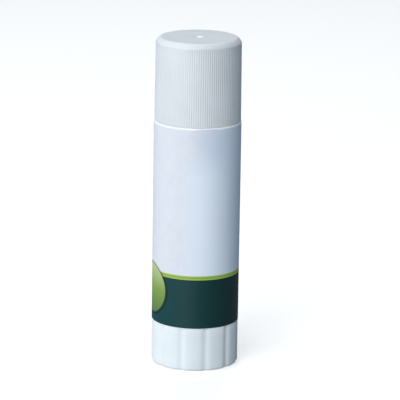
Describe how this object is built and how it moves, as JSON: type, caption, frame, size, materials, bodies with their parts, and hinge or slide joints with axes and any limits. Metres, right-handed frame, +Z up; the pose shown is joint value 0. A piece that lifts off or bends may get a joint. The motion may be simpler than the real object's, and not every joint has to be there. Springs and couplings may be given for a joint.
{
  "type": "glue stick",
  "caption": "White twist-up glue stick: ribbed push-on cap, round labelled barrel with a lime stripe over a dark green band, and a fluted knob that turns a lead screw to raise the glue.",
  "frame": {"origin": "middle of the base, on the surface that the stick stands on", "axes": "+Z up the stick's axis towards the cap; -Y is the front, which faced the camera, and the label's seam is at the back, +Y"},
  "size_m": [0.0305, 0.0304, 0.116],
  "materials": {
    "cap_plastic": "satin",
    "tube_plastic": "satin",
    "sleeve_plastic": "satin",
    "label_film": "satin",
    "plug_plastic": "satin",
    "knob_plastic": "satin",
    "spindle_plastic": "satin",
    "carrier_plastic": "satin",
    "glue_paste": "matte"
  },
  "bodies": {
    "barrel": {"outer_sleeve": "sleeve_plastic", "inner_tube": "tube_plastic", "base_plug": "plug_plastic", "label": "label_film"},
    "knob": {"knob": "knob_plastic", "spindle": "spindle_plastic"},
    "carrier": {"carrier": "carrier_plastic", "glue": "glue_paste"},
    "cap": {"cap": "cap_plastic"}
  },
  "joints": [
    {"name": "knob_turn", "type": "hinge", "parent": "barrel", "child": "knob", "pos_m": [0, 0, 0], "axis": [0, 0, 1], "range_deg": [0, 1710]},
    {"name": "glue_lift", "type": "slide", "parent": "barrel", "child": "carrier", "axis": [0, 0, 1], "range_m": [0, 0.019]},
    {"name": "cap_lift", "type": "slide", "parent": "barrel", "child": "cap", "axis": [0, 0, 1], "range_m": [0, 0.04]}
  ],
  "couplings": [
    {"joint": "knob_turn", "follows": "glue_lift", "rad_per_m": 1570.8}
  ]
}
